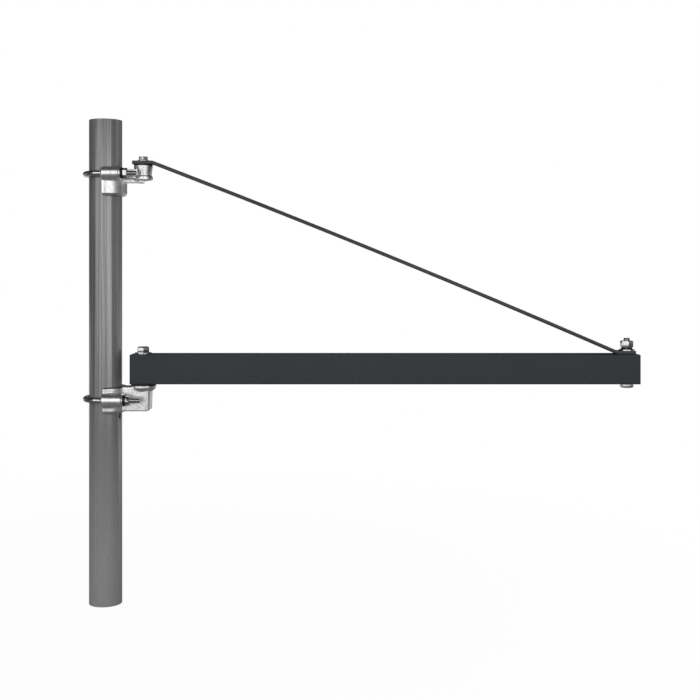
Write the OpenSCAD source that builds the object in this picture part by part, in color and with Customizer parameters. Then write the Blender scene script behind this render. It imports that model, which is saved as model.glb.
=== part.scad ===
// Clamp-on swivel jib for a scaffold tube: two cast brackets, a square-tube arm and a flat-bar stay.
// Origin: centre of the mast's bottom end. +Z up, +X along the jib at rest, millimetres.

/* [Mast] */
// Outside diameter of the mast tube
mast_d = 48.3; // [42:0.1:60]
// Wall thickness of the mast tube
mast_wall = 3.2; // [2:0.1:5]
// Length of the mast tube
mast_h = 716; // [700:1:1500]
// Diameter of the drilled hole below the lower bracket
mast_hole_d = 8; // [5:0.5:12]
// Height of the drilled hole
mast_hole_z = 278; // [150:1:279]
// Bearing of the drilled hole, turned from the jib's direction
mast_hole_turn = -18; // [-45:1:45]

/* [Jib arm] */
// Length of the arm over its end caps
arm_l = 750; // [600:1:1100]
// Width and height of the square tube
arm_w = 43.4; // [36:0.2:50]
// Wall thickness of the square tube
arm_wall = 3; // [2:0.1:4]
// Corner radius of the square tube
arm_r = 2.5; // [2:0.1:6]
// Height of the arm's underside
arm_z = 326; // [300:0.5:360]
// Distance of the pivot from the arm's rear end
arm_rear = 16.5; // [15:0.5:17]
// Distance of the tip bolt from the arm's outer end
arm_tip = 15.5; // [14:0.5:24]
// Thickness of an end cap's rim
cap_rim = 2; // [1:0.1:3]
// Depth of an end cap's plug inside the tube
cap_plug = 5; // [3:0.5:6]

/* [Stay] */
// Width of the flat bar
stay_w = 25; // [20:0.5:32]
// Thickness of the flat bar
stay_t = 5; // [3:0.1:6]
// Inside radius of the bar's bends
stay_bend_r = 5; // [2:0.5:10]
// How far the bar bows upwards at mid span
stay_bow = 4; // [0:0.5:10]
// End of the upper pad behind the pivot
stay_back = 15; // [13:0.5:20]
// Flat run of the upper pad in front of the pivot
stay_front = 13.5; // [13:0.5:20]
// Flat run of the lower pad behind the tip bolt
stay_heel = 14; // [13:0.5:40]
// End of the lower pad past the tip bolt
stay_toe = 11.5; // [10:0.5:13]
// Corner radius of the pads
stay_corner = 3; // [1:0.5:6]

/* [Swing axis] */
// Distance of the swing axis from the mast's centre line
pivot_x = 56; // [56:0.5:70]
// Clearance around a bolt in its hole, on the radius
hole_gap = 0.25; // [0.15:0.05:0.5]

/* [Brackets] */
// Height of the lower U-bolt
lower_z = 303.4; // [296:0.5:306]
// Height of the upper U-bolt
upper_z = 635.6; // [600:0.2:660]
// Gap between the mast and a saddle
seat_gap = 0.25; // [0.1:0.05:0.5]
// Thickness of the saddle round the mast
saddle_t = 7; // [5:0.5:9]
// Diameter of the sleeves that the U-bolt's legs pass through
sleeve_d = 20; // [16:0.5:21]
// Length of the lower bracket's sleeves
lower_sleeve_l = 32; // [26:0.5:38]
// Length of the upper bracket's sleeves
upper_sleeve_l = 28.5; // [24:0.5:30]
// Diameter of the lower bracket's pivot flange
flange_d = 38; // [34:0.5:41]
// Thickness of the pivot flange
flange_t = 4; // [3:0.5:6]
// Width of the lower bracket's hollow block
block_w = 29.4; // [28:0.2:33]
// Wall thickness of the hollow block
block_wall = 4.5; // [3:0.1:5]
// Thickness of the block's top under the flange
block_top = 12; // [9:0.5:14]
// Diameter of the upper bracket's lug
lug_d = 28; // [24:0.5:32]
// Height of the upper bracket's lug
lug_h = 22; // [18:0.5:22]
// Depth of the saddle skirt below the upper U-bolt
skirt_depth = 32; // [24:0.5:40]

/* [Fasteners] */
// Diameter of the U-bolts' rod
rod_d = 8; // [6:0.5:10]
// Gap between the mast and the U-bolt's loop
rod_gap = 0.85; // [0.3:0.05:0.9]
// Length of thread past the lower U-bolt's nuts
lower_thread_end = 15; // [8:0.5:18]
// Length of thread past the upper U-bolt's nuts
upper_thread_end = 13.5; // [4:0.5:16]
// Diameter of the lower pivot bolt and the tip bolt
bolt_d = 10; // [8:0.5:12]
// Diameter of the upper pivot bolt
stay_bolt_d = 8; // [6:0.5:10]
// Thickness of the bearing washer under the arm
bearing_t = 2.5; // [1.5:0.1:4]
// Thickness of the bearing washer under the stay
stay_bearing_t = 1.5; // [1:0.1:3]
// Height of the bolt's end above the tip nut
tip_end = 4; // [2:0.5:8]

/* [Hidden] */
$fn = 96;

mast_r = mast_d / 2;
saddle_in_r = mast_r + seat_gap;
saddle_r = saddle_in_r + saddle_t;
leg_y = mast_r + rod_gap + rod_d / 2;
sleeve_r = sleeve_d / 2;
sleeve_chamfer = 2;
sleeve_step = 2.5;
sleeve_lip = 1.8;
web_h = sleeve_d * 0.7;
web_setback = 4;
overlap = 1;

// Standard proportions of a hexagon fastener with the thread diameter d
function hex_flats(d) = d <= 8 ? 13 * d / 8 : 17 * d / 10;
function nut_h(d) = 0.8 * d;
function head_h(d) = 0.64 * d;
function washer_t(d) = 0.2 * d;
function thick_washer_t(d) = 0.4 * d;
function hex_r(flats) = flats / 2 / cos(30);
thread_gap = 0.1;
lock_collar_h = 1;
nut_turn = 40;
head_turn = 30;
leg_nut_turn = 26;
tip_nut_turn = 34;
tip_head_turn = -14;

arm_x0 = pivot_x - arm_rear;
arm_x1 = arm_x0 + arm_l;
tip_x = arm_x1 - arm_tip;
arm_top = arm_z + arm_w;
tube_x0 = arm_x0 + cap_rim;
tube_x1 = arm_x1 - cap_rim;
arm_in_w = arm_w - 2 * arm_wall;
arm_in_r = max(arm_r - arm_wall, 0.5);
plug_gap = 0.1;
cap_round = cap_rim * 0.75;

saddle_low = 19.5;
saddle_high = 19;
saddle_corner = 2.5;
lower_saddle_x = 1.8;
upper_saddle_x = 0.5;
flange_z = arm_z - bearing_t;
block_rise = 1.9;
block_z0 = lower_z - saddle_low + block_rise;
block_z1 = flange_z - flange_t / 2;
block_nose = 3.7;
block_draft = 1.5;
block_corner = 7;
block_chamfer = 2;
pocket_corner = 2;
pocket_x0 = saddle_r + block_wall;
pocket_x1 = pivot_x + hex_flats(bolt_d) / 2 + hole_gap;
block_x1 = pocket_x1 + block_nose;
head_seat_z = flange_z - block_top;

lug_rise = 13.4;
lug_top = upper_z + lug_rise;
lug_bottom = lug_top - lug_h;
lug_taper = 2;
ledge_t = 6;
neck_w = 22;
neck_t = 14;
neck_drop = 2;
stay_z = lug_top + stay_bearing_t;
boss_d = 21;
boss_drop = 4;
boss_bottom = lug_bottom - boss_drop;
nut_pocket = 8;
stay_seat_z = lug_bottom + nut_pocket;
gusset_t = 12;

// ---- plain shapes used by several pieces ----

// Square with rounded corners, centred
module rounded_square(w, l, r) {
    square([w - 2 * r, l], center = true);
    square([w, l - 2 * r], center = true);
    for (x = [-1, 1], y = [-1, 1])
        translate([x * (w / 2 - r), y * (l / 2 - r)]) circle(r);
}

// Cylinder lying along +X from the origin
module rod_x(r, l) {
    rotate([0, 90, 0]) cylinder(r = r, h = l);
}

// Hexagon prism whose corners are turned down by a 30 degree cone on the ends asked for
module chamfered_hex(flats, h, top = true, bottom = true) {
    face_r = flats * 0.48;
    outer_r = hex_r(flats) + overlap;
    rise = (outer_r - face_r) * tan(30);
    intersection() {
        cylinder(r = hex_r(flats), h = h, $fn = 6);
        rotate_extrude() polygon(concat(
            [[0, 0]],
            bottom ? [[face_r, 0], [outer_r, rise]] : [[outer_r, 0]],
            top ? [[outer_r, h - rise], [face_r, h]] : [[outer_r, h]],
            [[0, h]]
        ));
    }
}

// Hexagon nut for the thread diameter d, standing on z = 0
module hex_nut(d, h) {
    difference() {
        chamfered_hex(hex_flats(d), h);
        translate([0, 0, -overlap]) cylinder(r = d / 2 + thread_gap, h = h + 2 * overlap);
    }
}

// Flat ring standing on z = 0
module ring(outer_d, inner_d, h) {
    difference() {
        cylinder(d = outer_d, h = h);
        translate([0, 0, -overlap]) cylinder(d = inner_d, h = h + 2 * overlap);
    }
}

// Hexagon bolt with its head below z = 0 and its chamfered shank standing on it
module hex_bolt(d, l) {
    tip = d * 0.15;
    translate([0, 0, -head_h(d)]) chamfered_hex(hex_flats(d), head_h(d), top = false);
    rotate_extrude() polygon([
        [0, -overlap], [d / 2, -overlap], [d / 2, l - tip], [d / 2 - tip, l], [0, l]
    ]);
}

// ---- mast ----

module mast_tube() {
    color("gray") difference() {
        cylinder(r = mast_r, h = mast_h);
        translate([0, 0, -overlap]) cylinder(r = mast_r - mast_wall, h = mast_h + 2 * overlap);
        rotate([0, 0, mast_hole_turn]) translate([0, 0, mast_hole_z])
            rod_x(mast_hole_d / 2, mast_d);
    }
}

// ---- clamp parts shared by both brackets ----

// Half ring that wraps the jib side of the mast from z0 to z1, with its outer edges broken
module saddle(z0, z1, x0) {
    h = z1 - z0;
    inner_r = saddle_r - saddle_corner;
    intersection() {
        translate([0, 0, z0]) rotate_extrude() polygon([
            [0, 0], [inner_r, 0], [saddle_r, saddle_corner],
            [saddle_r, h - saddle_corner], [inner_r, h], [0, h]
        ]);
        translate([x0 + saddle_r, 0, z0 + h / 2]) rotate([90, 0, 0])
            linear_extrude(height = 2 * saddle_r, center = true)
                rounded_square(2 * saddle_r, h, saddle_corner);
    }
}

// The two sleeves, each with a rounded mouth on the mast side, and the webs that tie them to the saddle
module sleeves(z, l) {
    for (side = [-1, 1]) translate([0, side * leg_y, z]) {
        translate([sleeve_chamfer, 0, 0]) rod_x(sleeve_r, l - sleeve_chamfer - sleeve_step);
        rotate([0, 90, 0])
            cylinder(r1 = sleeve_r - sleeve_chamfer, r2 = sleeve_r, h = sleeve_chamfer);
        rod_x(sleeve_r - sleeve_lip, l);
    }
    translate([sleeve_chamfer, -leg_y, z - web_h / 2])
        cube([l - sleeve_chamfer - web_setback, 2 * leg_y, web_h]);
}

// What is cut from both castings: the seat of the mast and the holes of the U-bolt's legs
module clamp_cuts(z, z0, z1, l) {
    translate([0, 0, z0 - overlap]) cylinder(r = saddle_in_r, h = z1 - z0 + 2 * overlap);
    for (side = [-1, 1])
        translate([-overlap, side * leg_y, z]) rod_x(rod_d / 2 + hole_gap, l + 2 * overlap);
}

// U-bolt round the far side of the mast, with its legs pointing along +X
module u_bolt(z, end_x) {
    tip = 1;
    translate([0, 0, z]) {
        rotate([0, 0, 90]) rotate_extrude(angle = 180) translate([leg_y, 0]) circle(rod_d / 2);
        for (side = [-1, 1]) translate([0, side * leg_y, 0]) rotate([0, 90, 0])
            rotate_extrude() polygon([
                [0, 0], [rod_d / 2, 0], [rod_d / 2, end_x - tip], [rod_d / 2 - tip, end_x], [0, end_x]
            ]);
    }
}

module leg_washer(z, side, x) {
    translate([x, side * leg_y, z]) rotate([0, 90, 0])
        ring(2 * rod_d, rod_d + 2 * thread_gap, thick_washer_t(rod_d));
}

module leg_nut(z, side, x, turn = 0) {
    translate([x + thick_washer_t(rod_d), side * leg_y, z]) rotate([0, 90, 0]) rotate([0, 0, turn])
        hex_nut(rod_d, nut_h(rod_d));
}

function leg_end_x(sleeve_l, thread_end) =
    sleeve_l + thick_washer_t(rod_d) + nut_h(rod_d) + thread_end;

// ---- lower bracket ----

// Side outline of the hollow block with the draft of its outer face
module block_outline() {
    polygon([
        [0, block_z0], [block_x1 - block_draft - block_chamfer, block_z0],
        [block_x1 - block_draft, block_z0 + block_chamfer],
        [block_x1, block_z1], [0, block_z1]
    ]);
}

module lower_block() {
    intersection() {
        rotate([90, 0, 0]) linear_extrude(height = block_w, center = true) block_outline();
        translate([block_x1 / 2, 0, block_z0])
            linear_extrude(height = block_z1 - block_z0)
                rounded_square(block_x1, block_w, block_corner);
    }
    translate([pivot_x, 0, flange_z - flange_t]) cylinder(d = flange_d, h = flange_t);
    cone_h = (flange_d - block_w) / 2;
    translate([pivot_x, 0, flange_z - flange_t - cone_h])
        cylinder(d1 = flange_d - 2 * cone_h, d2 = flange_d, h = cone_h);
}

module lower_pocket() {
    pocket_l = pocket_x1 - pocket_x0;
    translate([pocket_x0 + pocket_l / 2, 0, block_z0 - overlap])
        linear_extrude(height = head_seat_z - block_z0 + overlap)
            rounded_square(pocket_l, block_w - 2 * block_wall, pocket_corner);
}

module lower_bracket() {
    color("gainsboro") difference() {
        union() {
            saddle(lower_z - saddle_low, lower_z + saddle_high, lower_saddle_x);
            sleeves(lower_z, lower_sleeve_l);
            lower_block();
        }
        clamp_cuts(lower_z, lower_z - saddle_low, flange_z, lower_sleeve_l);
        lower_pocket();
        translate([pivot_x, 0, lower_z]) cylinder(r = bolt_d / 2 + hole_gap, h = arm_w);
    }
}

module lower_u_bolt() {
    color("silver") u_bolt(lower_z, leg_end_x(lower_sleeve_l, lower_thread_end));
}

module lower_front_washer() {
    color("dimgray") leg_washer(lower_z, -1, lower_sleeve_l);
}

module lower_front_nut() {
    color("silver") leg_nut(lower_z, -1, lower_sleeve_l, leg_nut_turn);
}

module lower_back_washer() {
    color("dimgray") leg_washer(lower_z, 1, lower_sleeve_l);
}

module lower_back_nut() {
    color("silver") leg_nut(lower_z, 1, lower_sleeve_l);
}

// ---- lower pivot, from the head in the block up to the nut on the arm ----

// Two flats of the head face along X, so that the pocket's walls hold it
module pivot_bolt() {
    nut_top = arm_top + washer_t(bolt_d) + nut_h(bolt_d) + lock_collar_h;
    end_drop = 0.5;
    color("silver") translate([pivot_x, 0, head_seat_z]) rotate([0, 0, head_turn])
        hex_bolt(bolt_d, nut_top - end_drop - head_seat_z);
}

module bearing_washer() {
    color("dimgray") translate([pivot_x, 0, flange_z])
        ring(flange_d - flange_t / 2, bolt_d + 2 * hole_gap, bearing_t);
}

module pivot_washer() {
    color("silver") translate([pivot_x, 0, arm_top])
        ring(2.5 * bolt_d, bolt_d + 2 * hole_gap, washer_t(bolt_d));
}

// Self-locking nut: a hexagon with a plain collar on top
module pivot_nut() {
    collar_d = hex_flats(bolt_d) - 2;
    color("silver") translate([pivot_x, 0, arm_top + washer_t(bolt_d)])
        rotate([0, 0, nut_turn]) {
            hex_nut(bolt_d, nut_h(bolt_d));
            translate([0, 0, nut_h(bolt_d)])
                ring(collar_d, bolt_d + 2 * thread_gap, lock_collar_h);
        }
}

// ---- upper bracket ----

// Round lug that widens to its top, over a ledge
module upper_lug() {
    translate([pivot_x, 0, lug_bottom + ledge_t])
        cylinder(r1 = lug_d / 2 - lug_taper, r2 = lug_d / 2, h = lug_h - ledge_t);
    translate([pivot_x, 0, lug_bottom]) cylinder(d = lug_d, h = ledge_t);
    translate([0, -neck_w / 2, lug_bottom + neck_drop]) cube([pivot_x, neck_w, neck_t]);
}

// Web under the neck, which ends in a half-round wall on the mast's side of the nut
module upper_gusset() {
    translate([0, -gusset_t / 2, boss_bottom])
        cube([pivot_x, gusset_t, neck_drop + boss_drop + overlap]);
    intersection() {
        translate([pivot_x, 0, boss_bottom]) cylinder(d = boss_d, h = boss_drop + overlap);
        translate([pivot_x - boss_d, -boss_d / 2, boss_bottom])
            cube([boss_d, boss_d, boss_drop + overlap]);
    }
}

module upper_bracket() {
    color("gainsboro") difference() {
        union() {
            saddle(upper_z - skirt_depth, upper_z + web_h / 2, upper_saddle_x);
            sleeves(upper_z, upper_sleeve_l);
            upper_lug();
            upper_gusset();
        }
        clamp_cuts(upper_z, upper_z - skirt_depth, lug_top, upper_sleeve_l);
        translate([pivot_x, 0, boss_bottom - overlap])
            cylinder(r = stay_bolt_d / 2 + hole_gap, h = boss_drop + lug_h + 2 * overlap);
        translate([pivot_x, 0, boss_bottom - overlap])
            cylinder(r = hex_r(hex_flats(stay_bolt_d)) + hole_gap, h = boss_drop + nut_pocket + overlap);
    }
}

module upper_u_bolt() {
    color("silver") u_bolt(upper_z, leg_end_x(upper_sleeve_l, upper_thread_end));
}

module upper_front_washer() {
    color("dimgray") leg_washer(upper_z, -1, upper_sleeve_l);
}

module upper_front_nut() {
    color("silver") leg_nut(upper_z, -1, upper_sleeve_l);
}

module upper_back_washer() {
    color("dimgray") leg_washer(upper_z, 1, upper_sleeve_l);
}

module upper_back_nut() {
    color("silver") leg_nut(upper_z, 1, upper_sleeve_l, leg_nut_turn);
}

// ---- upper pivot, from the head on the stay down to the nut in the lug ----

module stay_pivot_bolt() {
    top = stay_z + stay_t + washer_t(stay_bolt_d);
    color("silver") translate([pivot_x, 0, top]) rotate([180, 0, head_turn])
        hex_bolt(stay_bolt_d, top - lug_bottom);
}

module stay_pivot_washer() {
    color("silver") translate([pivot_x, 0, stay_z + stay_t])
        ring(2 * stay_bolt_d, stay_bolt_d + 2 * hole_gap, washer_t(stay_bolt_d));
}

module stay_bearing_washer() {
    color("dimgray") translate([pivot_x, 0, lug_top])
        ring(min(lug_d, 2 * stay_front), stay_bolt_d + 2 * hole_gap, stay_bearing_t);
}

module stay_pivot_nut() {
    color("silver") translate([pivot_x, 0, stay_seat_z - nut_h(stay_bolt_d)])
        hex_nut(stay_bolt_d, nut_h(stay_bolt_d));
}

// ---- jib arm ----

// Lays a profile drawn in the tube's cross-section along +X from x0
module along_arm(x0, l) {
    translate([x0, 0, arm_z + arm_w / 2]) rotate([90, 0, 90]) linear_extrude(height = l) children();
}

module arm_bolt_hole(x) {
    translate([x, 0, arm_z - overlap])
        cylinder(r = bolt_d / 2 + hole_gap, h = arm_w + 2 * overlap);
}

module jib_arm() {
    color("darkslategray") difference() {
        along_arm(tube_x0, tube_x1 - tube_x0) difference() {
            rounded_square(arm_w, arm_w, arm_r);
            rounded_square(arm_in_w, arm_in_w, arm_in_r);
        }
        arm_bolt_hole(pivot_x);
        arm_bolt_hole(tip_x);
    }
}

// Pressed-in end cap whose rounded rim lies on the tube's end at x and whose plug points along dir
module end_cap(x, dir) {
    rim_x = dir > 0 ? x - cap_rim : x;
    plug_x = dir > 0 ? x : x - cap_plug;
    plug_w = arm_in_w - 2 * plug_gap;
    intersection() {
        along_arm(rim_x, cap_rim) rounded_square(arm_w, arm_w, arm_r);
        translate([x, 0, arm_z]) linear_extrude(height = arm_w)
            rounded_square(2 * cap_rim, arm_w, cap_round);
    }
    along_arm(plug_x, cap_plug) rounded_square(plug_w, plug_w, arm_in_r);
}

module rear_cap() {
    color("black") end_cap(tube_x0, 1);
}

module tip_cap() {
    color("black") end_cap(tube_x1, -1);
}

// ---- stay ----
// The bar's centre line: upper pad, bend, long bowed run, bend, lower pad

bend_r = stay_bend_r + stay_t / 2;
bend_a = [pivot_x + stay_front, stay_z + stay_t / 2 - bend_r];
bend_b = [tip_x - stay_heel, arm_top + stay_t / 2 + bend_r];
centres = bend_b - bend_a;
slope = atan2(-centres[1], centres[0]) + asin(2 * bend_r / norm(centres));
bow_angle = atan2(4 * stay_bow, norm(centres));
angle_a = slope - bow_angle;
angle_b = slope + bow_angle;
run_a = bend_a + bend_r * [sin(angle_a), cos(angle_a)];
run_b = bend_b - bend_r * [sin(angle_b), cos(angle_b)];
run_n = [-(run_b - run_a)[1], (run_b - run_a)[0]] / norm(run_b - run_a);
BEND_STEPS = 5;
RUN_STEPS = 16;

// Points of the bar's face at the distance side from its centre line
function stay_face(side) = concat(
    [[pivot_x - stay_back, stay_z + stay_t / 2 + side]],
    [for (i = [0:BEND_STEPS]) let (a = angle_a * i / BEND_STEPS)
        bend_a + (bend_r + side) * [sin(a), cos(a)]],
    [for (i = [1:RUN_STEPS - 1]) let (
            t = i / RUN_STEPS,
            turn = atan(4 * stay_bow * (1 - 2 * t) / norm(run_b - run_a)),
            n = [run_n[0] * cos(turn) - run_n[1] * sin(turn),
                 run_n[0] * sin(turn) + run_n[1] * cos(turn)])
        run_a + (run_b - run_a) * t + run_n * 4 * stay_bow * t * (1 - t) + n * side],
    [for (i = [0:BEND_STEPS]) let (a = angle_b * (1 - i / BEND_STEPS))
        bend_b - (bend_r - side) * [sin(a), cos(a)]],
    [[tip_x + stay_toe, arm_top + stay_t / 2 + side]]
);

function reversed(points) = [for (i = [len(points) - 1:-1:0]) points[i]];

module stay_bar() {
    stay_l = tip_x + stay_toe - pivot_x + stay_back;
    color("dimgray") difference() {
        intersection() {
            rotate([90, 0, 0]) linear_extrude(height = stay_w, center = true)
                polygon(concat(stay_face(stay_t / 2), reversed(stay_face(-stay_t / 2))));
            translate([pivot_x - stay_back + stay_l / 2, 0, arm_top - overlap])
                linear_extrude(height = stay_z - arm_top + stay_t + 2 * overlap)
                    rounded_square(stay_l, stay_w, stay_corner);
        }
        translate([pivot_x, 0, stay_z - overlap])
            cylinder(r = stay_bolt_d / 2 + hole_gap, h = stay_t + 2 * overlap);
        translate([tip_x, 0, arm_top - overlap])
            cylinder(r = bolt_d / 2 + hole_gap, h = stay_t + 2 * overlap);
    }
}

// ---- tip bolt with its washers and nut ----

tip_washer_z = arm_top + stay_t;
tip_spring_z = tip_washer_z + washer_t(bolt_d);
tip_nut_z = tip_spring_z + washer_t(bolt_d) * 1.3;
tip_nut_h = bolt_d;

module tip_bolt() {
    color("silver") translate([tip_x, 0, arm_z]) rotate([0, 0, tip_head_turn])
        hex_bolt(bolt_d, tip_nut_z + tip_nut_h + tip_end - arm_z);
}

module tip_washer() {
    color("silver") translate([tip_x, 0, tip_washer_z])
        ring(2.3 * bolt_d, bolt_d + 2 * hole_gap, washer_t(bolt_d));
}

module tip_spring_washer() {
    color("dimgray") translate([tip_x, 0, tip_spring_z])
        ring(1.65 * bolt_d, bolt_d + 2 * hole_gap, tip_nut_z - tip_spring_z);
}

module tip_nut() {
    color("silver") translate([tip_x, 0, tip_nut_z]) rotate([0, 0, tip_nut_turn])
        hex_nut(bolt_d, tip_nut_h);
}

mast_tube();
lower_bracket();
lower_u_bolt();
lower_front_washer();
lower_front_nut();
lower_back_washer();
lower_back_nut();
pivot_bolt();
bearing_washer();
pivot_washer();
pivot_nut();
upper_bracket();
upper_u_bolt();
upper_front_washer();
upper_front_nut();
upper_back_washer();
upper_back_nut();
stay_pivot_bolt();
stay_pivot_washer();
stay_bearing_washer();
stay_pivot_nut();
jib_arm();
rear_cap();
tip_cap();
stay_bar();
tip_bolt();
tip_washer();
tip_spring_washer();
tip_nut();
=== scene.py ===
import math

import bmesh
import bpy
from mathutils import Matrix, Vector


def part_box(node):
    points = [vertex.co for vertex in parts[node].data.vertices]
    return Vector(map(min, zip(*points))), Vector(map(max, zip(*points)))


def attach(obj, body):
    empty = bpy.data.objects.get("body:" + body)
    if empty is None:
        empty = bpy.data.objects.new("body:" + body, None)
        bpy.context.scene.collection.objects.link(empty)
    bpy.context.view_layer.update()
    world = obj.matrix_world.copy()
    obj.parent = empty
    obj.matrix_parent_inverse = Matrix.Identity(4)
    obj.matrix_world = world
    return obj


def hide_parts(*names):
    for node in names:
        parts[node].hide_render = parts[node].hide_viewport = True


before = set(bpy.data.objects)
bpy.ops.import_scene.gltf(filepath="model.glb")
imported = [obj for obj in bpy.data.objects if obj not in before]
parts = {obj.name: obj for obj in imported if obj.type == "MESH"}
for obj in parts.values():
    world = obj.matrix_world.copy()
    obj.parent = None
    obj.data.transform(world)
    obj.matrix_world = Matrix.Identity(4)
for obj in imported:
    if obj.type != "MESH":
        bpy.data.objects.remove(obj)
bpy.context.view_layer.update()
scene = bpy.context.scene

# ---- studio ----
# A white floor that runs out into a white surround, two large soft lamps in front of the jib
# and a camera that looks level at its side, from a little above the arm.

scene.view_settings.view_transform = "Standard"

camera = bpy.data.objects.new("camera", bpy.data.cameras.new("camera"))
scene.collection.objects.link(camera)
scene.camera = camera
camera.location = (0.363, -1.63, 0.494)
camera.rotation_euler = (math.radians(90), 0, 0)
camera.data.lens = 56.42
camera.data.shift_y = -0.1143


class Value:
    """A node's output, which Python's operators extend with Math nodes."""

    def __init__(self, graph, output):
        self.graph = graph
        self.output = output

    def maths(self, operation, *others):
        return self.graph.node("ShaderNodeMath", {"operation": operation}, self, *others)

    def __add__(self, other):
        return self.maths("ADD", other)

    __radd__ = __add__

    def __mul__(self, other):
        return self.maths("MULTIPLY", other)

    __rmul__ = __mul__

    def __sub__(self, other):
        return self.maths("SUBTRACT", other)

    def __rsub__(self, other):
        return self.graph.node("ShaderNodeMath", {"operation": "SUBTRACT"}, other, self)

    def __truediv__(self, other):
        return self.maths("DIVIDE", other)

    def __rtruediv__(self, other):
        return self.graph.node("ShaderNodeMath", {"operation": "DIVIDE"}, other, self)


class Graph:
    """A node tree to which node() adds nodes."""

    def __init__(self, tree):
        self.tree = tree

    def feed(self, socket, value):
        if isinstance(value, Value):
            self.tree.links.new(value.output, socket)
        else:
            socket.default_value = value

    def node(self, kind, settings, *values, output=0, sockets=None):
        """Adds a node: first its settings, then its sockets in order, then the ones given by name."""
        made = self.tree.nodes.new(kind)
        for name, value in settings.items():
            setattr(made, name, value)
        for index, value in enumerate(values):
            self.feed(made.inputs[index], value)
        for name, value in (sockets or {}).items():
            self.feed(made.inputs[name], value)
        return Value(self, made.outputs[output])

    def blend(self, factor, first, second):
        """A colour between two others, each given as its red, green and blue."""
        return self.node("ShaderNodeMix", {"data_type": "RGBA"}, output=2,
                         sockets={0: factor, 6: (*first, 1), 7: (*second, 1)})

    def step(self, value, start, end, low=0.0, high=1.0):
        """Goes smoothly from low to high while value goes from start to end."""
        return self.node("ShaderNodeMapRange", {"interpolation_type": "SMOOTHSTEP"},
                         value, start, end, low, high)

    def along(self, place, axis):
        """How far a place or a direction goes along one axis."""
        return self.node("ShaderNodeSeparateXYZ", {}, place, output=axis)

    def ray(self, kind):
        """1 for rays of this kind and 0 for all others."""
        return self.node("ShaderNodeLightPath", {}, output=f"Is {kind} Ray")

    def mirrored(self):
        """1 for rays that come by way of metal or glass and 0 for all others."""
        return (self.ray("Glossy") + self.ray("Transmission")).maths("MINIMUM", 1.0)


# The surround looks white and lights the jib softly, most of all from behind. Metal mirrors it
# white only straight behind the jib, and elsewhere as dark walls, less dark on the right, under a
# darker ceiling. Directions go from -1 to 1 along each axis.
SIDE_LEVEL = 0.42
BACK_LEVEL = 1.0
LEFT_WALL = 0.08
RIGHT_WALL = 0.26
CEILING_SHARE = 0.4
scene.world = bpy.data.worlds.new("surround")
scene.world.use_nodes = True
surround = Graph(scene.world.node_tree)
facing = surround.node("ShaderNodeTexCoord", {}, output="Generated")
towards_back = surround.along(facing, "Y")
slope = surround.along(facing, "Z").maths("ABSOLUTE")
walls = surround.step(surround.along(facing, "X"), 0.3, 0.95, LEFT_WALL, RIGHT_WALL)
reflected = surround.step(towards_back, 0.985, 0.9995, walls, BACK_LEVEL)
reflected = reflected * surround.step(slope, 0.2, 0.7, 1.0, CEILING_SHARE)
soft = surround.step(towards_back, 0.0, 0.8, SIDE_LEVEL, BACK_LEVEL)
seen = surround.ray("Camera")
shiny = surround.mirrored()
background = scene.world.node_tree.nodes["Background"]
surround.feed(background.inputs["Color"], (1, 1, 1, 1))
surround.feed(background.inputs["Strength"], seen + (1 - seen) * (shiny * reflected + (1 - shiny) * soft))

LAMPS_FACE = Vector((0.35, 0, 0.4))


def soft_lamp(name, bearing, distance, height, width, tall, radiance):
    """A rectangular lamp in front of the jib, at a bearing in degrees to the right."""
    lamp = bpy.data.lights.new(name, "AREA")
    lamp.shape = "RECTANGLE"
    lamp.size = width
    lamp.size_y = tall
    lamp.energy = radiance * width * tall * math.pi
    holder = bpy.data.objects.new(name, lamp)
    scene.collection.objects.link(holder)
    turn = math.radians(bearing)
    away = Vector((math.sin(turn) * distance, -math.cos(turn) * distance, height))
    holder.location = LAMPS_FACE + away
    holder.rotation_euler = (LAMPS_FACE - holder.location).to_track_quat("-Z", "Y").to_euler()


soft_lamp("left_lamp", bearing=-32, distance=2.3, height=0.25, width=2.6, tall=2.4, radiance=1.4)
soft_lamp("right_lamp", bearing=28, distance=2.3, height=0.25, width=1.95, tall=2.4, radiance=1.3)


class Finish(Graph):
    """A material for one finish, whose sockets set() fills."""

    def __init__(self, name):
        self.material = bpy.data.materials.new(name)
        self.material.use_nodes = True
        super().__init__(self.material.node_tree)
        self.shader = self.tree.nodes["Principled BSDF"]
        self.place = self.node("ShaderNodeTexCoord", {}, output="Object")

    def set(self, **values):
        for name, value in values.items():
            self.feed(self.shader.inputs[name.replace("_", " ")], value)

    def stretched(self, *scale):
        """The place on the piece, with each direction scaled."""
        return self.node("ShaderNodeMapping", {}, sockets={"Vector": self.place, "Scale": scale})

    def noise(self, size, detail=2.0, place=None, roughness=0.5):
        """Smooth noise from 0 to 1 whose patches are about size metres across."""
        return self.node("ShaderNodeTexNoise", {}, sockets={
            "Vector": place or self.place, "Scale": 1 / size,
            "Detail": detail, "Roughness": roughness})

    def bump(self, height, depth):
        """Raises the surface by height times depth metres."""
        self.set(Normal=self.node("ShaderNodeBump", {}, sockets={
            "Strength": 1.0, "Distance": depth, "Height": height}))


FLOOR_SIZE = 24.0
floor_mesh = bpy.data.meshes.new("floor")
floor_shape = bmesh.new()
bmesh.ops.create_grid(floor_shape, x_segments=8, y_segments=8, size=FLOOR_SIZE / 2)
floor_shape.to_mesh(floor_mesh)
floor_shape.free()
floor = bpy.data.objects.new("floor", floor_mesh)
scene.collection.objects.link(floor)


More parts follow.
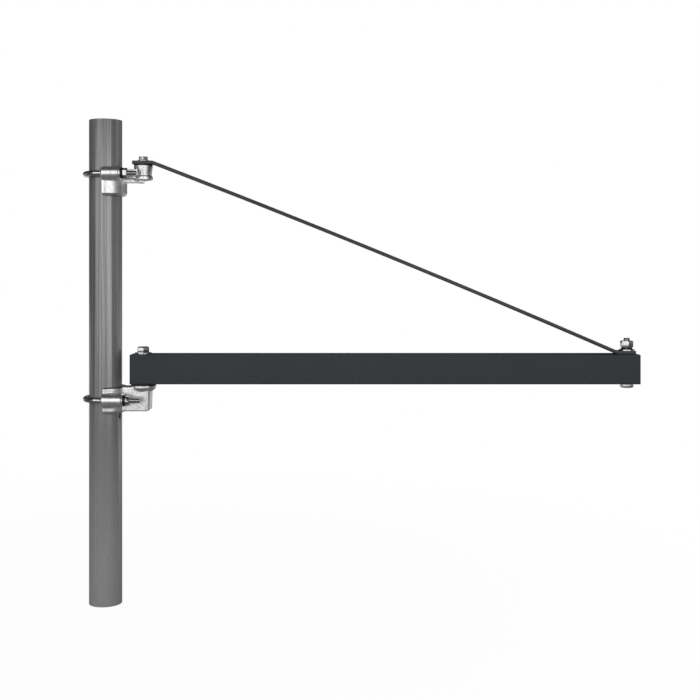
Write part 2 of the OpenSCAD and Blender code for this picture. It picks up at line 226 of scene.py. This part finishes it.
def floor_paint():
    """Glows white to the camera, apart from a small share near the jib that takes its shadow. Metal
    mirrors it dark near the jib and paler far behind, and it throws little light back up."""
    pale, dim = (0.85, 0.85, 0.85), (0.09, 0.09, 0.09)
    paint = Finish("studio_floor")
    from_jib = paint.node("ShaderNodeVectorMath", {"operation": "LENGTH"}, paint.place, output="Value")
    behind = paint.along(paint.place, "Y")
    paint.set(Base_Color=paint.blend(paint.ray("Camera"), dim, pale), Roughness=0.9)
    lit = Value(paint, paint.shader.outputs[0])
    glow = paint.node("ShaderNodeEmission", {}, (1, 1, 1, 1), 1.0)
    share = paint.ray("Camera") * paint.step(from_jib, 0.3, 1.2, 0.95, 1.0)
    share = share + paint.mirrored() * paint.step(behind, 0.3, 2.0, 0.06, 0.6)
    paint.feed(paint.tree.nodes["Material Output"].inputs["Surface"],
               paint.node("ShaderNodeMixShader", {}, share, lit, glow))
    return paint.material


floor_mesh.materials.append(floor_paint())

# ---- mast ----
# A short length of rolled and welded scaffold tube, sawn off square at both ends and drilled
# once. Its dull steel skin has the long streaks that the rolls leave.

SAWN_EDGE = 0.0004
SAME_PLACE = 1e-6
SAME_PLANE = math.radians(0.5)


def tube_steel():
    dark, pale = (0.13, 0.13, 0.131), (0.54, 0.54, 0.543)
    steel = Finish("tube_steel")
    rolled = steel.stretched(1, 1, 0.004)
    bands = steel.noise(0.009, 1.0, rolled)
    lines = steel.noise(0.0026, 3.0, rolled, 0.7)
    stains = steel.noise(0.06, 5.0, steel.stretched(1, 1, 0.35))
    specks = steel.noise(0.0012, 2.0)
    # Towards the tube's foot the streaks on it are fainter, and the steel is painted paler there: painted
    # light that stands in for light thrown up from the floor.
    height = steel.along(steel.place, "Z")
    streaked = steel.step(height, 0.2, 0.36, 0.2, 1.0)
    floor_light_painted = steel.step(height, 0.0, 0.4, 0.7, 0.0)
    streaks = steel.step(bands, 0.35, 0.65) * 0.4 + steel.step(lines, 0.38, 0.62) * 0.6
    # The shade takes in the painted floor light near the foot.
    shade = 0.34 + (streaks - 0.5) * 0.62 * streaked + floor_light_painted
    shade = shade + (steel.step(stains, 0.3, 0.75) - 0.5) * 0.1
    roughness = 0.25 + steel.step(stains, 0.3, 0.8) * 0.1 + specks * 0.06
    roughness = roughness - steel.step(lines, 0.4, 0.6) * 0.05
    steel.set(Base_Color=steel.blend(shade, dark, pale), Metallic=0.5, Roughness=roughness)
    steel.bump(lines * 0.6 + specks * 0.4, 0.00004)
    return steel.material


def clean_copy(node):
    """A mesh like the node's own, with its loose triangles joined up."""
    shape = bmesh.new()
    shape.from_mesh(parts[node].data)
    bmesh.ops.remove_doubles(shape, verts=shape.verts, dist=SAME_PLACE)
    bmesh.ops.dissolve_limit(shape, angle_limit=SAME_PLANE, verts=shape.verts, edges=shape.edges)
    mesh = bpy.data.meshes.new(node)
    shape.to_mesh(mesh)
    shape.free()
    if "custom_normal" in mesh.attributes:
        mesh.attributes.remove(mesh.attributes["custom_normal"])
    return mesh


def piece(name, mesh, finish, body, slot, *nodes, smooth_angle=35):
    """Puts a mesh in the scene as a finished piece that stands for the nodes."""
    made = bpy.data.objects.new(name, mesh)
    scene.collection.objects.link(made)
    mesh.materials.clear()
    mesh.materials.append(finish)
    mesh.shade_smooth()
    mesh.set_sharp_from_angle(angle=math.radians(smooth_angle))
    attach(made, body)
    if nodes:
        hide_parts(*nodes)


def plain_mesh(holder):
    """The mesh that an object's modifiers or its curve come to. The object itself goes."""
    bpy.context.view_layer.update()
    mesh = bpy.data.meshes.new_from_object(holder.evaluated_get(bpy.context.evaluated_depsgraph_get()))
    bpy.data.objects.remove(holder)
    return mesh


def applied(mesh, *changes):
    """The mesh after a list of modifiers, each given as its type and its settings."""
    holder = bpy.data.objects.new("blank", mesh)
    scene.collection.objects.link(holder)
    for kind, settings in changes:
        change = holder.modifiers.new(kind, kind)
        for name, value in settings.items():
            setattr(change, name, value)
    return plain_mesh(holder)


def softened(mesh, width, segments=2):
    """The mesh with its sharp edges rounded off."""
    return applied(mesh, ("BEVEL", {
        "width": width, "segments": segments, "limit_method": "ANGLE",
        "angle_limit": math.radians(30), "use_clamp_overlap": True}))


piece("mast", softened(clean_copy("mast_tube"), SAWN_EDGE), tube_steel(), "mast", "mast_steel", "mast_tube")

# ---- cast brackets ----
# Two castings grip the mast: the lower one carries the arm on a round flange over a hollow
# block, the upper one carries the stay on an upright lug. Both are bright zinc plated over
# the grain of the casting, with every edge and corner rounded by the mould.

CAST_VOXEL = 0.00062
CAST_ROUNDING = 7  # passes


def cast_zinc():
    bright, dull = (0.9, 0.9, 0.905), (0.38, 0.38, 0.385)
    zinc = Finish("cast_zinc")
    grain = zinc.noise(0.0009, 3.0, roughness=0.6)
    pits = zinc.noise(0.0035, 2.0)
    clouds = zinc.noise(0.012, 3.0)
    worn = zinc.step(pits, 0.5, 0.72) * 0.45 + zinc.step(grain, 0.52, 0.74) * 0.4
    zinc.set(Base_Color=zinc.blend(worn, bright, dull), Metallic=1.0,
             Roughness=0.3 + zinc.step(clouds, 0.3, 0.7) * 0.08 + worn * 0.1)
    zinc.bump(grain * 0.35 + pits * 0.65, 0.00011)
    return zinc.material


def cast(node):
    """A casting's mesh: the node's form with its edges and inner corners rounded."""
    return applied(clean_copy(node),
                   ("REMESH", {"mode": "VOXEL", "voxel_size": CAST_VOXEL, "use_smooth_shade": True}),
                   ("SMOOTH", {"factor": 0.5, "iterations": CAST_ROUNDING}))


cast_finish = cast_zinc()
for level_name in ("lower", "upper"):
    piece(f"{level_name}_casting", cast(f"{level_name}_bracket"), cast_finish, "mast", "bracket_zinc",
          f"{level_name}_bracket", smooth_angle=180)

# ---- U-bolts ----
# Each bracket is drawn onto the mast by a U-bolt bent from bright zinc plated rod. The legs
# pass through the bracket's sleeves and are threaded over their last stretch.

ROD_PITCH = 0.00125
THREAD_DEPTH = 0.6  # of the pitch
THREAD_IN_SLEEVE = 0.004
BEND_STEPS = 36
ROUND_STEPS = 36
ROWS_A_PITCH = 7


def bright_zinc():
    pale, dull = (0.62, 0.625, 0.635), (0.46, 0.465, 0.475)
    zinc = Finish("bright_zinc")
    fine = zinc.noise(0.0006, 2.0)
    clouds = zinc.noise(0.006, 3.0)
    zinc.set(Base_Color=zinc.blend(zinc.step(clouds, 0.35, 0.7), pale, dull), Metallic=1.0,
             Roughness=0.1 + zinc.step(clouds, 0.3, 0.75) * 0.06 + fine * 0.04)
    zinc.bump(fine, 0.00002)
    return zinc.material


def thread_shape():
    """A screw thread with a chamfered end, repeated at each place along a line."""
    tree = bpy.data.node_groups.new("screw_thread", "GeometryNodeTree")
    tree.interface.new_socket("Geometry", in_out="INPUT", socket_type="NodeSocketGeometry")
    for name, kind in (("Length", "Float"), ("Radius", "Float"), ("Pitch", "Float"), ("Depth", "Float"),
                       ("Round Steps", "Int"), ("Rows", "Int"), ("Count", "Int"),
                       ("Start", "Vector"), ("Spacing", "Vector"), ("Rotation", "Vector"),
                       ("Finish", "Material")):
        tree.interface.new_socket(name, in_out="INPUT", socket_type="NodeSocket" + kind)
    tree.interface.new_socket("Geometry", in_out="OUTPUT", socket_type="NodeSocketGeometry")
    shape = Graph(tree)
    given = tree.nodes.new("NodeGroupInput")
    size = {socket.name: Value(shape, socket) for socket in given.outputs if socket.name}
    # A square grid is wound into the thread: its width goes round and its height goes along.
    grid = shape.node("GeometryNodeMeshGrid", {}, sockets={
        "Size X": 1.0, "Size Y": 1.0, "Vertices X": size["Round Steps"], "Vertices Y": size["Rows"]})
    place = shape.node("GeometryNodeInputPosition", {})
    across = shape.along(place, "X")
    travel = (shape.along(place, "Y") + 0.5) * (size["Length"] + size["Radius"])
    height = travel.maths("MINIMUM", size["Length"])
    winding = (height / size["Pitch"] - across).maths("FRACT")
    groove = (winding - 0.5).maths("ABSOLUTE") * 2
    run_in = (height / size["Pitch"]).maths("MINIMUM", 1.0)
    radius = size["Radius"] - size["Depth"] * groove * run_in
    # The end is chamfered, and past it the last rows close the flat end face.
    radius = radius.maths("MINIMUM", size["Radius"] - size["Depth"] + (size["Length"] - height))
    radius = radius.maths("MINIMUM", size["Length"] + size["Radius"] - travel)
    turn = across * (2 * math.pi)
    moved = shape.node("ShaderNodeCombineXYZ", {},
                       radius * turn.maths("COSINE"), radius * turn.maths("SINE"), height)
    thread = shape.node("GeometryNodeSetPosition", {}, sockets={"Geometry": grid, "Position": moved})
    thread = shape.node("GeometryNodeMergeByDistance", {}, sockets={
        "Geometry": thread, "Distance": SAME_PLACE})
    places = shape.node("GeometryNodeMeshLine", {}, sockets={
        "Count": size["Count"], "Start Location": size["Start"], "Offset": size["Spacing"]})
    turned = shape.node("FunctionNodeEulerToRotation", {}, size["Rotation"])
    copies = shape.node("GeometryNodeInstanceOnPoints", {}, sockets={
        "Points": places, "Instance": thread, "Rotation": turned})
    solid = shape.node("GeometryNodeRealizeInstances", {}, sockets={"Geometry": copies})
    solid = shape.node("GeometryNodeSetMaterial", {}, sockets={"Geometry": solid, "Material": size["Finish"]})
    result = tree.nodes.new("NodeGroupOutput")
    shape.feed(result.inputs[0], solid)
    return tree


def threads(finish, radius, pitch, length, starts, direction):
    """A mesh of threads of one size that begin at the starts and run in one direction."""
    holder = bpy.data.objects.new("threads", bpy.data.meshes.new("threads"))
    scene.collection.objects.link(holder)
    change = holder.modifiers.new("thread", "NODES")
    change.node_group = screw_thread
    wanted = {
        "Length": length, "Radius": radius, "Pitch": pitch, "Depth": pitch * THREAD_DEPTH,
        "Round Steps": ROUND_STEPS + 1, "Rows": round((length + radius) / pitch * ROWS_A_PITCH),
        "Count": len(starts), "Start": starts[0],
        "Spacing": (starts[-1] - starts[0]) / max(len(starts) - 1, 1),
        "Rotation": Vector(direction.to_track_quat("Z", "Y").to_euler()), "Finish": finish}
    for socket in screw_thread.interface.items_tree:
        if socket.in_out == "INPUT" and socket.name in wanted:
            change[socket.identifier] = wanted[socket.name]
    return plain_mesh(holder)


def joined(name, *meshes):
    """One mesh made of several."""
    shape = bmesh.new()
    for mesh in meshes:
        shape.from_mesh(mesh)
    whole = bpy.data.meshes.new(name)
    shape.to_mesh(whole)
    shape.free()
    return whole


def bent_rod(path, radius):
    """A round rod swept along the path."""
    line = bpy.data.curves.new("rod", "CURVE")
    line.dimensions = "3D"
    line.bevel_depth = radius
    line.bevel_resolution = 8
    line.use_fill_caps = True
    run = line.splines.new("POLY")
    run.points.add(len(path) - 1)
    for point, spot in zip(run.points, path):
        point.co = (*spot, 1)
    holder = bpy.data.objects.new("rod", line)
    scene.collection.objects.link(holder)
    return plain_mesh(holder)


ALONG_X = Vector((1, 0, 0))
zinc_finish = bright_zinc()
screw_thread = thread_shape()
for level_name in ("lower", "upper"):
    low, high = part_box(f"{level_name}_u_bolt")
    rod_r = (high.z - low.z) / 2
    leg_y = high.y - rod_r
    rod_z = (high.z + low.z) / 2
    thread_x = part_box(f"{level_name}_front_washer")[0].x - THREAD_IN_SLEEVE
    bend = [math.radians(90 + 180 * step / BEND_STEPS) for step in range(BEND_STEPS + 1)]
    path = [Vector((thread_x, leg_y, rod_z)),
            *[Vector((leg_y * math.cos(turn), leg_y * math.sin(turn), rod_z)) for turn in bend],
            Vector((thread_x, -leg_y, rod_z))]
    legs = threads(zinc_finish, rod_r, ROD_PITCH, high.x - thread_x,
                   [Vector((thread_x, side * leg_y, rod_z)) for side in (-1, 1)], ALONG_X)
    piece(f"{level_name}_clamp_rod", joined("clamp_rod", bent_rod(path, rod_r), legs), zinc_finish,
          "mast", "bolt_zinc", f"{level_name}_u_bolt", smooth_angle=50)

# ---- nuts and washers on the U-bolts ----
# Each leg is drawn up by a bright zinc plated hexagon nut, which bears on the sleeve's end
# through a thick washer of blackened steel.

HEX_STEPS = 72
HEX_CREASE = 25
EDGE = 0.00018
SMALL_FLATS = 0.013
NUT_FACE = 0.475  # radius of a nut's round face, of its flats
CORNER_SLOPE = math.tan(math.radians(30))
CLAMP_NUT_TURNS = {"lower": (36, 0), "upper": (0, 26)}  # front and back, in degrees


def black_oxide():
    dark, worn = (0.012, 0.012, 0.013), (0.04, 0.04, 0.042)
    black = Finish("black_oxide")
    fine = black.noise(0.0008, 3.0)
    black.set(Base_Color=black.blend(fine, dark, worn), Metallic=0.6, Roughness=0.42 + fine * 0.2)
    black.bump(fine, 0.00003)
    return black.material


def hexagon(flats):
    """A function that gives the distance from the middle to a hexagon's side at a bearing."""
    def reach(turn):
        return flats / 2 / math.cos((turn + math.pi / 6) % (math.pi / 3) - math.pi / 6)
    return reach


def rings_mesh(rings, closed):
    """Skins a list of rings, each a radius and a height that may be functions of the bearing.
    A closed list joins its last ring to its first; an open one is capped at both ends."""
    shape = bmesh.new()
    rows = []
    for radius, height in rings:
        row = []
        for step in range(HEX_STEPS):
            turn = 2 * math.pi * step / HEX_STEPS
            out = radius(turn) if callable(radius) else radius
            up = height(turn) if callable(height) else height
            row.append(shape.verts.new((out * math.cos(turn), out * math.sin(turn), up)))
        rows.append(row)
    pairs = list(zip(rows, rows[1:] + rows[:1]))
    for lower, upper in pairs if closed else pairs[:-1]:
        for step in range(HEX_STEPS):
            after = (step + 1) % HEX_STEPS
            shape.faces.new((lower[step], lower[after], upper[after], upper[step]))
    if not closed:
        shape.faces.new(reversed(rows[0]))
        shape.faces.new(rows[-1])
    mesh = bpy.data.meshes.new("turned")
    shape.to_mesh(mesh)
    shape.free()
    return mesh


def hex_rings(flats, height, bottom=True, top=True, face=NUT_FACE):
    """The outer rings of a hexagon piece. Where its bottom or its top is turned, the corners slope
    away from a round face, whose radius is a share of the flats."""
    side = hexagon(flats)
    face_r = flats * face

    def fall(turn):
        return (side(turn) - face_r) * CORNER_SLOPE

    rings = [(face_r, 0.0), (side, fall)] if bottom else [(face_r, 0.0), (side, 0.0)]
    rings += [(side, lambda turn: height - fall(turn)), (face_r, height)] if top else [(side, height)]
    return rings


def nut_mesh(flats, bore_r, height, face=NUT_FACE):
    """A hexagon nut with a countersunk bore."""
    sink = bore_r * 0.12
    return rings_mesh([(bore_r, sink), (bore_r + sink, 0.0), *hex_rings(flats, height, face=face),
                       (bore_r + sink, height), (bore_r, height - sink)], closed=True)


def washer_mesh(outer_r, inner_r, thickness):
    """A flat ring with eased edges."""
    ease = min(thickness * 0.25, EDGE * 1.5)
    return rings_mesh([
        (inner_r, ease), (inner_r + ease, 0.0), (outer_r - ease, 0.0), (outer_r, ease),
        (outer_r, thickness - ease), (outer_r - ease, thickness),
        (inner_r + ease, thickness), (inner_r, thickness - ease)], closed=True)


def placed(mesh, spot, direction, turn=0.0):
    """Stands a mesh on the spot with its axis in the direction, turned about it by some degrees."""
    swing = direction.to_track_quat("Z", "Y").to_matrix().to_4x4()
    mesh.transform(Matrix.Translation(spot) @ swing @ Matrix.Rotation(math.radians(turn), 4, "Z"))
    return mesh


def hex_piece(name, mesh, spot, direction, turn, node):
    """A bright nut or bolt that stays with the mast, turned about its axis by some degrees."""
    piece(name, placed(softened(mesh, EDGE), spot, direction, turn), zinc_finish,
          "mast", "bolt_zinc", node, smooth_angle=HEX_CREASE)


def on_leg(node):
    """Where a nut or washer on a leg begins, its radius and its thickness."""
    low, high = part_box(node)
    spot = Vector((low.x, (low.y + high.y) / 2, (low.z + high.z) / 2))
    return spot, (high.z - low.z) / 2, high.x - low.x


black_finish = black_oxide()
low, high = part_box("upper_u_bolt")
leg_r = (high.z - low.z) / 2
for level_name, nut_turns in CLAMP_NUT_TURNS.items():
    for side_name, turn in zip(("front", "back"), nut_turns):
        leg_name = f"{level_name}_{side_name}"
        spot, _, height = on_leg(f"{leg_name}_nut")
        hex_piece(f"{leg_name}_clamp_nut", nut_mesh(SMALL_FLATS, leg_r, height), spot, ALONG_X, turn,
                  f"{leg_name}_nut")
        spot, outer_r, thickness = on_leg(f"{leg_name}_washer")
        piece(f"{leg_name}_clamp_washer", placed(washer_mesh(outer_r, leg_r, thickness), spot, ALONG_X),
              black_finish, "mast", "washer_dark", f"{leg_name}_washer")

# ---- arm's pivot ----
# A bolt comes up from the hollow of the lower bracket through a plastic bearing ring and the
# arm. A self-locking nut with a nylon ring in its collar holds it down over a flat washer.

UP = Vector((0, 0, 1))
BOLT_R = 0.005
BOLT_END_BEVEL = 0.2  # of the bolt's radius
HEAD_H = 0.0064
HEAD_FACE = 0.492  # of the flats
LOCK_NUT_TURN = 10  # degrees
BORE_SINK = 0.0006
COLLAR_H = 0.001
COLLAR_INSET = 0.0009  # from the hexagon's sides
LIP_W = 0.002
LIP_SEAT = 0.93  # where the lip ends over the nylon, of the nut's height
NYLON_GAP = 0.0001
NYLON_BEVEL = 0.0002


def dark_plastic():
    black, grey = (0.014, 0.014, 0.015), (0.028, 0.028, 0.03)
    plastic = Finish("dark_plastic")
    fine = plastic.noise(0.0006, 3.0)
    plastic.set(Base_Color=plastic.blend(fine, black, grey), Roughness=0.5 + fine * 0.15)
    plastic.bump(fine, 0.00003)
    return plastic.material


def nylon():
    cream, pale = (0.72, 0.73, 0.70), (0.85, 0.86, 0.83)
    ring = Finish("nylon")
    fine = ring.noise(0.001, 2.0)
    ring.set(Base_Color=ring.blend(fine, cream, pale), Roughness=0.38 + fine * 0.1)
    return ring.material


def ring_piece(name, node, inner_r, finish, body, slot):
    """Replaces a plain washer that lies level."""
    low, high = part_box(node)
    spot = Vector(((low.x + high.x) / 2, 0, low.z))
    mesh = washer_mesh((high.x - low.x) / 2, inner_r, high.z - low.z)
    piece(name, placed(mesh, spot, UP), finish, body, slot, node)


def bolt_mesh(flats, head_h, bolt_r, length):
    """A hexagon head under z = 0 with a plain shank standing on it."""
    rings = [(radius, (lambda turn, h=height: (h(turn) if callable(h) else h) - head_h))
             for radius, height in hex_rings(flats, head_h, top=False, face=HEAD_FACE)]
    bevel = bolt_r * BOLT_END_BEVEL
    return rings_mesh([*rings, (bolt_r, 0.0), (bolt_r, length - bevel), (bolt_r - bevel, length)],
                      closed=False)


plastic_finish = dark_plastic()
low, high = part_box("pivot_bolt")
pivot_x = (low.x + high.x) / 2
bolt_flats = high.x - low.x
hex_piece("pivot_bolt_detail", bolt_mesh(bolt_flats, HEAD_H, BOLT_R, high.z - low.z - HEAD_H),
          Vector((pivot_x, 0, low.z + HEAD_H)), UP, 0, "pivot_bolt")
ring_piece("arm_bearing", "bearing_washer", BOLT_R, plastic_finish, "mast", "bearing_plastic")
ring_piece("arm_washer", "pivot_washer", BOLT_R, zinc_finish, "mast", "bolt_zinc")

low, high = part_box("pivot_nut")
nut_spot = Vector((pivot_x, 0, low.z))
lock_h = high.z - low.z
hex_h = lock_h - COLLAR_H
collar_r = bolt_flats / 2 - COLLAR_INSET
lip = [(collar_r - LIP_W * inward, lock_h * upward)
       for inward, upward in ((0.05, 0.88), (0.25, 0.96), (0.6, 1.0), (0.9, 0.985), (1.0, LIP_SEAT))]
lock_nut = rings_mesh([
    (BOLT_R, BORE_SINK), (BOLT_R + BORE_SINK, 0.0), *hex_rings(bolt_flats, hex_h, bottom=False),
    (collar_r, hex_h), *lip, (BOLT_R, lock_h * LIP_SEAT)], closed=True)
hex_piece("lock_nut", lock_nut, nut_spot, UP, LOCK_NUT_TURN, "pivot_nut")
nylon_r = collar_r - LIP_W + NYLON_GAP
nylon_ring = rings_mesh([
    (BOLT_R, lock_h * 0.9), (nylon_r, lock_h * 0.9),
    (nylon_r, lock_h * 0.965), (BOLT_R + NYLON_BEVEL, lock_h * 0.975)], closed=True)
piece("lock_nut_ring", placed(nylon_ring, nut_spot, UP), nylon(), "mast", "bearing_plastic")

# ---- stay's pivot ----
# The stay turns on a bolt that drops through a flat washer, the stay's pad and a thin bearing
# ring into the lug, where the nut sits in a round pocket from below.

DOWN = Vector((0, 0, -1))
STAY_BOLT_R = 0.004
STAY_HEAD_H = 0.00512
STAY_BOLT_TURN = -6  # degrees

low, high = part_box("stay_pivot_bolt")
stay_bolt = bolt_mesh(SMALL_FLATS, STAY_HEAD_H, STAY_BOLT_R, high.z - low.z - STAY_HEAD_H)
hex_piece("stay_bolt", stay_bolt, Vector((pivot_x, 0, high.z - STAY_HEAD_H)), DOWN, STAY_BOLT_TURN,
          "stay_pivot_bolt")
ring_piece("stay_washer", "stay_pivot_washer", STAY_BOLT_R, zinc_finish, "mast", "bolt_zinc")
ring_piece("stay_bearing", "stay_bearing_washer", STAY_BOLT_R, plastic_finish, "mast", "bearing_plastic")
low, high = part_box("stay_pivot_nut")
hex_piece("stay_nut", nut_mesh(SMALL_FLATS, STAY_BOLT_R, high.z - low.z), Vector((pivot_x, 0, low.z)),
          UP, 0, "stay_pivot_nut")

# ---- jib arm ----
# A length of square steel tube, powder coated charcoal, with a black plastic cap pressed into
# each end. The side is bare where the maker would print.

CAP_EDGE = 0.0006


def charcoal_coat():
    dark, pale = (0.041, 0.0465, 0.0505), (0.048, 0.0535, 0.058)
    coat = Finish("charcoal_coat")
    peel = coat.noise(0.0013, 2.0)
    clouds = coat.noise(0.05, 3.0)
    coat.set(Base_Color=coat.blend(clouds, dark, pale), Specular_IOR_Level=0.24,
             Roughness=0.66 + peel * 0.1)
    coat.bump(peel, 0.00006)
    return coat.material


piece("arm_tube", softened(clean_copy("jib_arm"), SAWN_EDGE), charcoal_coat(), "jib", "arm_paint", "jib_arm")
for end_name in ("rear", "tip"):
    piece(f"{end_name}_plug", softened(clean_copy(f"{end_name}_cap"), CAP_EDGE, 3), plastic_finish,
          "jib", "cap_plastic", f"{end_name}_cap")

# ---- stay ----
# One length of flat steel bar, coated black, that bows a little between its ends. Each end is
# bent into a flat pad, drilled for the bolt that holds it.

BAR_EDGE = 0.0005


def black_coat():
    dark, pale = (0.022, 0.022, 0.023), (0.036, 0.036, 0.037)
    coat = Finish("black_coat")
    peel = coat.noise(0.0012, 2.0)
    coat.set(Base_Color=coat.blend(peel, dark, pale), Roughness=0.34 + peel * 0.1)
    coat.bump(peel, 0.00006)
    return coat.material


piece("stay", softened(clean_copy("stay_bar"), BAR_EDGE), black_coat(), "jib", "stay_paint", "stay_bar",
      smooth_angle=40)

# ---- tip bolt ----
# A long bolt from below holds the stay's lower pad on the arm, with a flat washer, a split
# spring washer and a plain nut on top, and shows a few turns of thread.

BOLT_PITCH = 0.0015
TIP_HEAD_TURN = 16  # degrees
TIP_NUT_TURN = 4
SPLIT_STEPS = 64
SPLIT_GAP = math.radians(7)
SPLIT_BEARING = -1.9  # radians
SPLIT_PLAY = 0.0002
SPLIT_THICKNESS = 0.86  # of the washer's height, cut and all

low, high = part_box("tip_bolt")
tip_x = (low.x + high.x) / 2
thread_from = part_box("tip_nut")[0].z
tip_head = bolt_mesh(bolt_flats, HEAD_H, BOLT_R, thread_from - low.z - HEAD_H)
tip_head = placed(softened(tip_head, EDGE), Vector((tip_x, 0, low.z + HEAD_H)), UP, TIP_HEAD_TURN)
tip_thread = threads(zinc_finish, BOLT_R, BOLT_PITCH, high.z - thread_from,
                     [Vector((tip_x, 0, thread_from))], UP)
piece("tip_screw", joined("tip_screw", tip_head, tip_thread), zinc_finish, "jib", "bolt_zinc", "tip_bolt",
      smooth_angle=HEX_CREASE)
ring_piece("tip_flat_washer", "tip_washer", BOLT_R, zinc_finish, "jib", "bolt_zinc")


def split_ring(node):
    """A spring washer: one turn of square wire that rises to where it is cut."""
    low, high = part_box(node)
    inner_r = BOLT_R + SPLIT_PLAY
    outer_r = (high.x - low.x) / 2
    thickness = (high.z - low.z) * SPLIT_THICKNESS
    rise = high.z - low.z - thickness
    shape = bmesh.new()
    sections = []
    for step in range(SPLIT_STEPS + 1):
        share = step / SPLIT_STEPS
        turn = SPLIT_BEARING + SPLIT_GAP / 2 + (2 * math.pi - SPLIT_GAP) * share
        up = low.z + rise * share
        corners = [(inner_r, up), (outer_r, up), (outer_r, up + thickness), (inner_r, up + thickness)]
        sections.append([shape.verts.new((tip_x + out * math.cos(turn), out * math.sin(turn), z))
                         for out, z in corners])
    for first, second in zip(sections, sections[1:]):
        for corner in range(4):
            after = (corner + 1) % 4
            shape.faces.new((first[corner], first[after], second[after], second[corner]))
    shape.faces.new(sections[0])
    shape.faces.new(reversed(sections[-1]))
    bmesh.ops.recalc_face_normals(shape, faces=shape.faces)
    mesh = bpy.data.meshes.new("split_washer")
    shape.to_mesh(mesh)
    shape.free()
    return mesh


piece("split_washer", softened(split_ring("tip_spring_washer"), EDGE), black_finish, "jib", "washer_dark",
      "tip_spring_washer")

low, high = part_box("tip_nut")
tip_nut = nut_mesh(bolt_flats, BOLT_R, high.z - low.z, HEAD_FACE)
tip_nut = placed(softened(tip_nut, EDGE), Vector((tip_x, 0, low.z)), UP, TIP_NUT_TURN)
piece("tip_hex_nut", tip_nut, zinc_finish, "jib", "bolt_zinc", "tip_nut", smooth_angle=HEX_CREASE)
